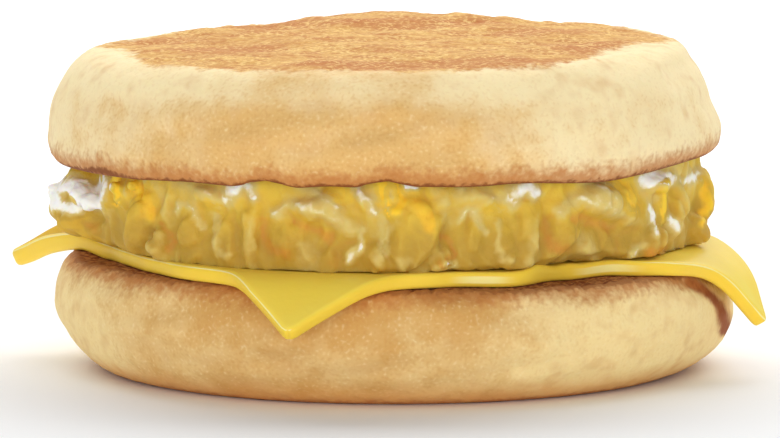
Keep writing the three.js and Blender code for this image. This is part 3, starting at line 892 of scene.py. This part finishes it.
def egg_curds(mesh, tones):
    """Adds every curd to the mesh, and its places and tones to the list."""
    folds = [(*fold[:5], FOLD_RELIEF * fold[5], *fold[6:]) for fold in FOLDS]
    folds += [(fold[0] + FOLDS_AGAIN, *fold[1:]) for fold in folds]
    for number, (right, up, wide, tall, lean, out, pale, brown_and_shade) in enumerate(list(END_CURDS) + folds):
        deep = 0.8 * min(wide, tall) + 2.4 + max(0, out)
        if up - tall / 2 < LOW_CURD:
            highest = up + tall / 2
            up = (highest + CURD_FOOT) / 2
            tall = highest - CURD_FOOT
        verts = curd(mesh, number, wide, deep, tall)
        bearing = -math.acos(right / EGG_RADIUS)
        stood(mesh, verts, bearing, EGG_RADIUS + out, EGG_LEVEL + up, math.radians(-lean))
        tones += [(vert.co.copy(), pale, brown_and_shade) for vert in verts[::TONE_SKIP]]
    for number, (right, front, up, across) in enumerate(WHITES):
        verts = curd(mesh, WHITES_FROM + number, across, across, across, rough=0.25)
        bmesh.ops.translate(mesh, vec=(right, -front, EGG_LEVEL + up), verts=verts)
        tones += [(vert.co.copy(), 1, 0) for vert in verts[::TONE_SKIP]]
    for ring in (0, 1):
        for index in range(CURDS_BEHIND):
            number = BEHIND_FROM + ring * CURDS_BEHIND + index
            spot = index + 0.3 + ring / 2 + between(-0.2, 0.2, chance(number, 1))
            wide = CURD_WIDTH * between(0.85, 1.3, chance(number, 2))
            tall = CURD_WIDTH * between(0.7, 1.1, chance(number, 3))
            face = EGG_RADIUS + between(-0.6, 1.6, chance(number, 4))
            turn = between(-0.6, 0.6, chance(number, 5))
            height = EGG_LEVEL + EGG_HEIGHT * (0.7 if ring else 0.3)
            height += between(-0.8, 0.8, chance(number, 6))
            verts = curd(mesh, number, wide, 0.8 * CURD_WIDTH, tall)
            stood(mesh, verts, spot / CURDS_BEHIND * math.pi, face, height, turn)
            pale = 0.7 * chance(number, 7) ** 2
            tones += [(vert.co.copy(), pale, 0.15 * chance(number, 8)) for vert in verts[::TONE_SKIP]]


def stroke_points():
    """Places close together along every stroke, as seen from the front, each with its stroke."""
    points = []
    for stroke in STROKES:
        corners = [Vector((right, 0, EGG_LEVEL + up)) for right, up in stroke[0]]
        points.append((corners[0], stroke))
        for start, end in zip(corners, corners[1:]):
            count = max(1, round((end - start).length / STROKE_STEP))
            points += [(start.lerp(end, step / count), stroke) for step in range(1, count + 1)]
    return points


def tree_of(places):
    """A search tree over a list of places."""
    tree = kdtree.KDTree(len(places))
    for number, place in enumerate(places):
        tree.insert(place, number)
    tree.balance()
    return tree


def strokes_at(place, tree, strokes):
    """Each stroke that a place on the egg lies under, with how strongly; noise makes its edges ragged."""
    sideways = 0.5 * lumps(place, 1.7, 41) + 0.25 * lumps(place, 0.7, 43)
    upwards = 0.5 * lumps(place, 1.7, 47)
    seen = Vector((place.x + sideways, 0, place.z + upwards))
    nearest = {}
    for _, number, distance in tree.find_range(seen, STROKE_SEARCH):
        stroke = strokes[number][1]
        if distance < nearest.get(id(stroke), (math.inf, stroke))[0]:
            nearest[id(stroke)] = (distance, stroke)
    for distance, stroke in nearest.values():
        share = smooth(0.9 * stroke[1], 0, distance)
        if share > 0:
            yield stroke, share


def fused(mesh, voxel):
    """Fuses overlapping shapes into one skin with a voxel remesh."""
    data = bpy.data.meshes.new("fused")
    mesh.to_mesh(data)
    mesh.free()
    holder = bpy.data.objects.new("fused", data)
    bpy.context.scene.collection.objects.link(holder)
    remesh = holder.modifiers.new("remesh", "REMESH")
    remesh.mode = "VOXEL"
    remesh.voxel_size = voxel
    made = bmesh.new()
    made.from_object(holder, bpy.context.evaluated_depsgraph_get())
    bpy.data.objects.remove(holder)
    bpy.data.meshes.remove(data)
    return made


def soften(mesh, times):
    """Smooths a mesh a number of times over."""
    axes = {"use_axis_x": True, "use_axis_y": True, "use_axis_z": True}
    for _ in range(times):
        bmesh.ops.smooth_vert(mesh, verts=mesh.verts, factor=0.5, **axes)


def merge_hidden(mesh):
    """Makes the level faces one face above and one below, where the top half and the slice hide them."""
    middle = EGG_LEVEL + EGG_HEIGHT / 2
    for side, radius in ((1, HIDDEN_ABOVE), (-1, HIDDEN_BELOW)):
        hidden = []
        for face in mesh.faces:
            place = face.calc_center_median()
            if side * (place.z - middle) > 0 and place.xy.length < radius:
                hidden.append(face)
        bmesh.ops.dissolve_faces(mesh, faces=hidden, use_verts=True)


def settle(mesh, foot=FOOT_HEIGHT):
    """Keeps the heap on the slice, under the top half and, in its foot, inside the slice's sides."""
    low = EGG_LEVEL - GAP - SLICE_LIFT + EGG_OVER_SLICE
    to_flat = Matrix.Rotation(-SLICE_TURN, 2)
    from_flat = Matrix.Rotation(SLICE_TURN, 2)
    half = SLICE_SIDE / 2
    to_top = TOP_PLACE.inverted()
    for vert in mesh.verts:
        vert.co.z = max(vert.co.z, low)
        above = to_top @ vert.co
        ceiling = rim_rise(above.x, above.y) - EGG_UNDER_TOP
        if above.z > ceiling:
            above.z = ceiling
            vert.co = TOP_PLACE @ above
        height = vert.co.z - low
        if height < foot:
            flat = to_flat @ Vector(vert.co[:2])
            left_limit = half + humps(LEFT_BULGES, flat.y) - FOOT_INSET_LEFT + FOOT_SLOPE * height
            right_limit = half + humps(RIGHT_BULGES, flat.x) - FOOT_INSET_RIGHT + FOOT_SLOPE * height
            flat.x = max(flat.x, -left_limit)
            flat.y = max(flat.y, -right_limit)
            vert.co.x, vert.co.y = from_flat @ flat


def tone_at(place, tree, tones):
    """How pale and how browned the curds nearest to a place are; the browning is partly painted shade."""
    total = 1e-6
    paler = 0
    browner_and_shadier = 0
    for _, number, distance in tree.find_n(place, NEAR_TONES):
        weight = 1 / (distance * distance + 0.3)
        total += weight
        paler += weight * tones[number][1]
        browner_and_shadier += weight * tones[number][2]
    return paler / total, browner_and_shadier / total


def scrambled_egg():
    """One heap: a core with the curds fused on and strokes over it, each place toned by those near it."""
    mesh = bmesh.new()
    core_radius = EGG_RADIUS - CREASE_DEPTH
    core_place = Matrix.Translation((0, 0, EGG_LEVEL + EGG_HEIGHT / 2))
    core = {"radius1": core_radius, "radius2": core_radius, "depth": EGG_HEIGHT + 4, "matrix": core_place}
    bmesh.ops.create_cone(mesh, cap_ends=True, segments=96, **core)
    tones = []
    egg_curds(mesh, tones)
    mesh = fused(mesh, CURD_VOXEL)
    settle(mesh)
    merge_hidden(mesh)
    soften(mesh, SOFTENINGS)
    tone_tree = tree_of([tone[0] for tone in tones])
    strokes = stroke_points()
    stroke_tree = tree_of([point for point, _ in strokes])
    pale, brown_and_shade, fold = tracks(mesh, "pale", "brown_and_shade", "fold")
    mesh.normal_update()
    moves = []
    for vert in mesh.verts:
        paler, browner_and_shadier = tone_at(vert.co, tone_tree, tones)
        rise = 0
        if vert.co.y < -1:
            for stroke, share in strokes_at(vert.co, stroke_tree, strokes):
                rise += STROKE_RELIEF * stroke[2] * share
                paler = between(paler, stroke[3], share)
                browner_and_shadier = between(browner_and_shadier, stroke[4], share)
        upright = Vector((vert.co.x, vert.co.y, 0.3 * vert.co.z))
        tall = Vector((vert.co.x, vert.co.y, 0.7 * vert.co.z))
        rise += LOBE_RELIEF * (lobes(tall, LOBE_SIZE, 83) - 0.7) * smooth(0.75, 0.45, paler)
        rise += 0.3 * lumps(vert.co, 3.4, 23) + 0.08 * lumps(upright, 1.7, 31)
        rise += 0.04 * lumps(vert.co, 1.2, 29)
        rise += (0.03 + 0.24 * smooth(0.5, 1, paler)) * lumps(vert.co, 0.9, 37)
        outwards = Vector((vert.co.x, vert.co.y, 0)).normalized()
        moves.append((vert.normal * 0.6 + outwards * 0.4) * rise)
        vert[pale] = paler
        vert[brown_and_shade] = browner_and_shadier
    for vert, move in zip(mesh.verts, moves):
        vert.co += move
    settle(mesh, foot=0)
    # How far each place lies in a hollow or out on a crest, for the painted shade in its creases and the
    # painted highlight on its crests
    soft = mesh.copy()
    soften(soft, FOLD_SOFTENINGS)
    soft.verts.ensure_lookup_table()
    mesh.normal_update()
    for vert in mesh.verts:
        vert[fold] = (soft.verts[vert.index].co - vert.co).dot(vert.normal)
    soft.free()
    return mesh


def egg_coat():
    """Soft scrambled egg: dull dark yellow below and yellow above, which is painted shade, cream to white
    where pale, browned in places, with painted shade in its creases and a painted highlight on its crests.
    """
    coat = Coat(
        "egg", Roughness=0.66, Subsurface_Weight=0.5, Subsurface_Scale=0.004, Specular_IOR_Level=0.25
    )
    coat.shader.inputs["Subsurface Radius"].default_value = (1.0, 0.65, 0.25)
    pale = coat.attribute("pale")
    brown_and_shade = coat.attribute("brown_and_shade")
    fold = coat.attribute("fold")
    cloud = coat.grain(2.4, 3)
    fine = coat.grain(0.8, 2)
    height = coat.node("SeparateXYZ", inputs={0: coat.place}, output="Z")
    # Painted highlight on the crests and painted shade in the creases, read from the fold value
    crest = coat.step(fold, -0.02, -0.3)
    crease = coat.step(fold, 0.05, 0.5)
    # Painted shade: darker and duller low down, brighter yellow above, as if lit from above
    low = (EGG_LEVEL + 2) * MILLIMETRE
    high = (EGG_LEVEL + 11) * MILLIMETRE
    up = coat.step(height + (cloud - 0.5) * 0.006, low, high)
    # Crests are made paler: painted highlight
    paler = pale + (cloud - 0.5) * 0.35 + crest * 0.15 + (fine - 0.5) * 0.2
    yellow = coat.mix(up, colour(192, 154, 58), colour(231, 193, 68))
    yellow = coat.mix(coat.step(pale, -0.1, -0.7), yellow, colour(255, 206, 52))
    skin = coat.mix(coat.step(paler, 0.08, 0.7), yellow, colour(216, 192, 114))
    skin = coat.mix(coat.step(paler, 0.62, 0.95), skin, colour(255, 251, 238))
    # Painted shade in the creases
    skin = coat.mix(crease * 0.35, skin, colour(206, 150, 58))
    # Browned places: partly the egg's own browning, partly painted shade in the creases
    browned = coat.step(brown_and_shade + (fine - 0.5) * 0.3, 0.1, 1.1)
    skin = coat.mix(browned, skin, colour(214, 140, 56))
    coat.drive("Base Color", skin)
    coat.bump(fine + cloud * 1.5, 0.12)
    return coat


def aimed(name, data, place, aim):
    """Puts a camera or a lamp in the scene, pointed at a place."""
    made = bpy.data.objects.new(name, data)
    made.location = place
    made.rotation_euler = (Vector(aim) - Vector(place)).to_track_quat("-Z", "Y").to_euler()
    bpy.context.scene.collection.objects.link(made)
    return made


def set_camera():
    """The camera at the photo's angle, and colours shown as they are."""
    data = bpy.data.cameras.new("camera")
    data.lens = LENS
    data.sensor_width = SENSOR_WIDTH
    data.clip_start = 0.05
    data.clip_end = 20
    eye = Vector((EYE_RIGHT, -EYE_DISTANCE, EYE_HEIGHT)) * MILLIMETRE
    aim = Vector((EYE_RIGHT, 0, AIM_HEIGHT)) * MILLIMETRE
    bpy.context.scene.camera = aimed("camera", data, eye, aim)
    bpy.context.scene.view_settings.view_transform = "Standard"


def lamp(name, place, wide, tall, power, tint):
    """A soft lamp aimed at the middle of the sandwich, its place and size in metres."""
    data = bpy.data.lights.new(name, "AREA")
    data.shape = "RECTANGLE"
    data.size = wide
    data.size_y = tall
    data.energy = power
    data.color = tint
    aimed(name, data, place, (0, 0, 0.02))


def set_light():
    """A soft key lamp behind and above, a wide fill lamp in front, and an even pale surround."""
    lamp("key", place=(0.08, 0.85, 0.95), wide=2.2, tall=1.3, power=24, tint=(1, 0.99, 0.98))
    lamp("fill", place=(-0.1, -1.5, 0.33), wide=3, tall=0.6, power=15.5, tint=(1, 1, 1))
    world = bpy.data.worlds.new("studio")
    world.use_nodes = True
    background = world.node_tree.nodes["Background"]
    background.inputs["Color"].default_value = (0.93, 0.965, 1, 1)
    background.inputs["Strength"].default_value = 0.4
    bpy.context.scene.world = world


def lay_floor():
    """A plain pale floor, 12 m across."""
    mesh = bmesh.new()
    bmesh.ops.create_grid(mesh, x_segments=1, y_segments=1, size=6)
    data = bpy.data.meshes.new("floor")
    mesh.to_mesh(data)
    mesh.free()
    coat = Coat("floor", Roughness=0.9, Base_Color=(0.945, 0.95, 0.955, 1), Specular_IOR_Level=0.1)
    data.materials.append(coat.material)
    floor = bpy.data.objects.new("floor", data)
    bpy.context.scene.collection.objects.link(floor)


set_camera()
set_light()
lay_floor()

bottom_coat = crust_coat(
    "bottom_crust", plain=colour(214, 164, 92), palest=colour(248, 221, 158), foot_tone=0.75, line_tone=0.45
)
top_coat = crust_coat(
    "top_crust", plain=colour(227, 182, 112), palest=colour(253, 231, 180), foot_tone=0, line_tone=0.85
)
piece("muffin_bottom_baked", muffin_bottom(), "muffin_bottom", "muffin", bottom_coat)
piece("cheese_slice_draped", cheese_slice(), "cheese_slice", "cheese", cheese_coat())
piece("scrambled_egg_heap", scrambled_egg(), "scrambled_egg", "egg", egg_coat())
piece("muffin_top_baked", muffin_top(), "muffin_top", "muffin", top_coat)
